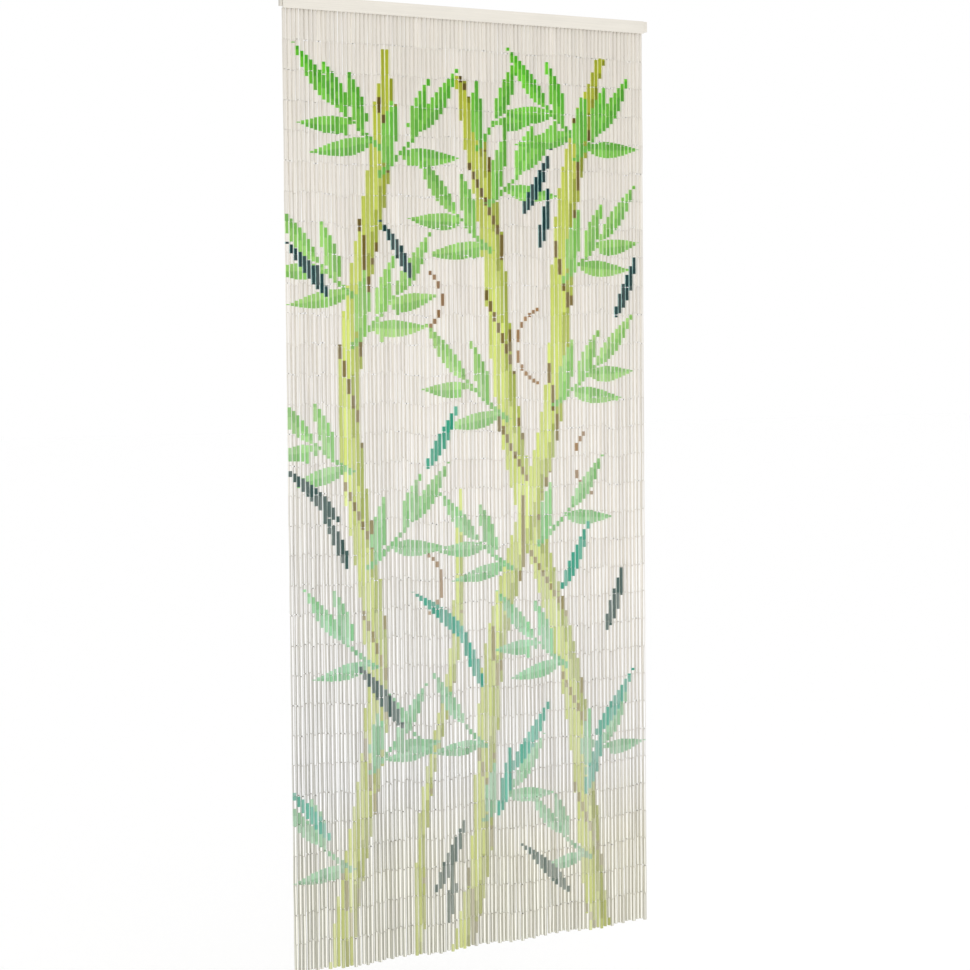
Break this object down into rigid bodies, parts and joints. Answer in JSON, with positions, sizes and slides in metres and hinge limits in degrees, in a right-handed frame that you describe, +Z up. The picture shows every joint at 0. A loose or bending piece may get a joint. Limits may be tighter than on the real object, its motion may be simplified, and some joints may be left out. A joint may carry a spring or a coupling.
{
  "type": "bamboo bead door curtain with its header batten",
  "caption": "Door curtain of bamboo bead strands with a printed leaf design, hung from a painted wooden header batten with a cover strip.",
  "frame": {"origin": "centre of the batten's back face, which goes against the wall or lintel", "axes": "+Z up, the strands hang along -Z; +Y towards the wall; +X to the right as seen from the front"},
  "size_m": [0.9, 0.0138, 2.0049],
  "materials": {
    "painted_wood": "satin off-white paint",
    "painted_bamboo": "matt off-white paint with a printed green design",
    "link_wire": "bright drawn wire"
  },
  "bodies": {
    "root": {"header_batten": "painted_wood", "cover_strip": "painted_wood", "bead_strands": "painted_bamboo"}
  },
  "joints": []
}
